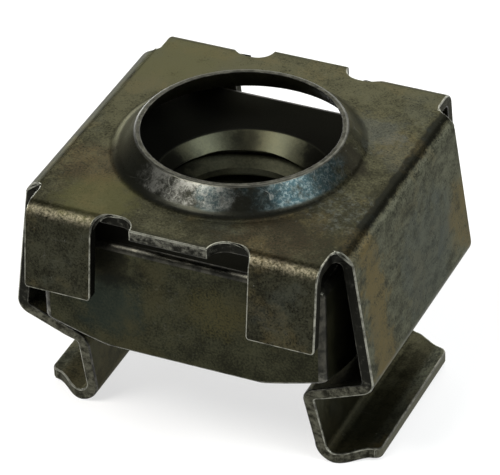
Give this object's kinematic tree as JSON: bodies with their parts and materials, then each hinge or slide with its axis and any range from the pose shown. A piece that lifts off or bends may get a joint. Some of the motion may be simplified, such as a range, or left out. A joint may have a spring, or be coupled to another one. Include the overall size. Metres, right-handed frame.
{
  "type": "rack cage nut",
  "caption": "Square nut held loosely in a folded spring-steel cage with a drawn collar, side walls that carry the nut and two hooked spring legs that clip into a square rack hole.",
  "frame": {"origin": "on the thread axis, in the plane that the two hooked feet stand on", "axes": "+Z along the thread from the feet up to the drawn collar, +X across the two spring legs, +Y across the folded tabs"},
  "size_m": [0.014, 0.0134, 0.0109],
  "materials": {
    "cage_steel": "dark phosphate over spring steel, worn to bare metal on the folds and cut edges",
    "nut_steel": "dark phosphate, satin, with a brighter turned countersink"
  },
  "bodies": {
    "root": {"spring_cage": "cage_steel", "square_nut": "nut_steel"}
  },
  "joints": []
}
